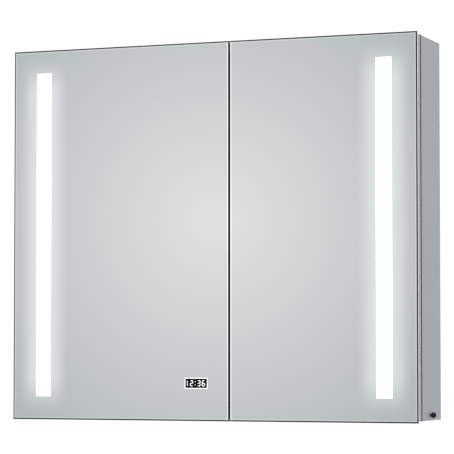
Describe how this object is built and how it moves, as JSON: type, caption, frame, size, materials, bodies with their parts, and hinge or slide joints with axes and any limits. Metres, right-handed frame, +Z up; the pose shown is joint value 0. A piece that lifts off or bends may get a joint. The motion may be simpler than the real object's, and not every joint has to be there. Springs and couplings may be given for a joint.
{
  "type": "mirror cabinet",
  "caption": "Wall-hung bathroom cabinet with mirrored doors of unequal width, lit vertical windows, a digital clock, glass shelves and a push switch.",
  "frame": {"origin": "centre of the back face, on the wall plane, midway across and midway up the cabinet", "axes": "+X to the right as seen from the front, +Y into the wall (the doors face -Y), +Z up"},
  "size_m": [0.8082, 0.155, 0.7],
  "materials": {
    "anodised_aluminium": "fine satin anodised sheet",
    "white_board": "white laminated board, fine texture",
    "frame_profile": "brushed and clear anodised extrusion",
    "front_mirror": "silvered float glass with a ground edge",
    "inner_mirror": "silvered float glass with a ground edge",
    "lit_window": "sandblasted, lit from behind",
    "shelf_glass": "clear, polished edge",
    "fastener_steel": "zinc plated",
    "hinge_zinc": "nickel-plated die casting",
    "rubber_black": "matt",
    "bumper_clear": "soft clear urethane",
    "magnet": "nickel-plated magnet, dull",
    "driver_case": "fine spark texture",
    "terminal_plastic": "matt",
    "wire_insulation": "smooth",
    "circuit_board": "white solder mask with diodes",
    "black_plastic": "fine spark texture",
    "button_black": "polished",
    "clock_black": "smoked, polished",
    "clock_light": "lit, diffused"
  },
  "bodies": {
    "cabinet": {"left_side_panel": "anodised_aluminium", "right_side_panel": "anodised_aluminium", "top_panel": "anodised_aluminium", "floor_panel": "anodised_aluminium", "service_fascia": "anodised_aluminium", "bottom_cover": "anodised_aluminium", "cover_screws": "fastener_steel", "back_panel": "white_board", "centre_partition": "anodised_aluminium", "left_upper_shelf": "shelf_glass", "left_lower_shelf": "shelf_glass", "right_upper_shelf": "shelf_glass", "right_lower_shelf": "shelf_glass", "shelf_pins": "fastener_steel", "wall_plates": "fastener_steel", "cable_grommet": "rubber_black", "led_driver": "driver_case", "terminal_block": "terminal_plastic", "bay_wires": "wire_insulation", "switch_housing": "hinge_zinc", "switch_nut": "fastener_steel", "switch_spring": "fastener_steel", "left_hinge_plates": "hinge_zinc", "right_hinge_plates": "hinge_zinc", "left_hinge_arms": "hinge_zinc", "right_hinge_arms": "hinge_zinc", "hinge_screws": "fastener_steel", "door_bumpers": "bumper_clear", "catch_magnets": "magnet", "left_door_lead": "rubber_black", "right_door_lead": "rubber_black"},
    "left_door": {"left_front_mirror": "front_mirror", "left_light_window": "lit_window", "left_light_tray": "frame_profile", "left_led_strip": "circuit_board", "left_top_rail": "frame_profile", "left_bottom_rail": "frame_profile", "left_hinge_stile": "frame_profile", "left_free_stile": "frame_profile", "left_inner_mirror": "inner_mirror", "left_hinge_blocks": "hinge_zinc", "left_hinge_pins": "fastener_steel", "left_catch_plate": "fastener_steel", "clock_surround": "lit_window", "clock_lens": "clock_black", "clock_digits": "clock_light", "clock_module": "black_plastic"},
    "right_door": {"right_front_mirror": "front_mirror", "right_light_window": "lit_window", "right_light_tray": "frame_profile", "right_led_strip": "circuit_board", "right_top_rail": "frame_profile", "right_bottom_rail": "frame_profile", "right_hinge_stile": "frame_profile", "right_free_stile": "frame_profile", "right_inner_mirror": "inner_mirror", "right_hinge_blocks": "hinge_zinc", "right_hinge_pins": "fastener_steel", "right_catch_plate": "fastener_steel"},
    "switch_button": {"switch_button": "button_black"}
  },
  "joints": [
    {"name": "left_door_hinge", "type": "hinge", "parent": "cabinet", "child": "left_door", "pos_m": [-0.3905, -0.1425, 0], "axis": [0, 0, -1], "range_deg": [0, 105], "deforming": ["left_door_lead"]},
    {"name": "right_door_hinge", "type": "hinge", "parent": "cabinet", "child": "right_door", "pos_m": [0.3905, -0.1425, 0], "axis": [0, 0, 1], "range_deg": [0, 105], "deforming": ["right_door_lead"]},
    {"name": "switch_press", "type": "slide", "parent": "cabinet", "child": "switch_button", "axis": [-1, 0, 0], "range_m": [0, 0.0012], "stiffness_N_per_m": 600, "springref_m": -0.0015, "deforming": ["switch_spring"]}
  ]
}
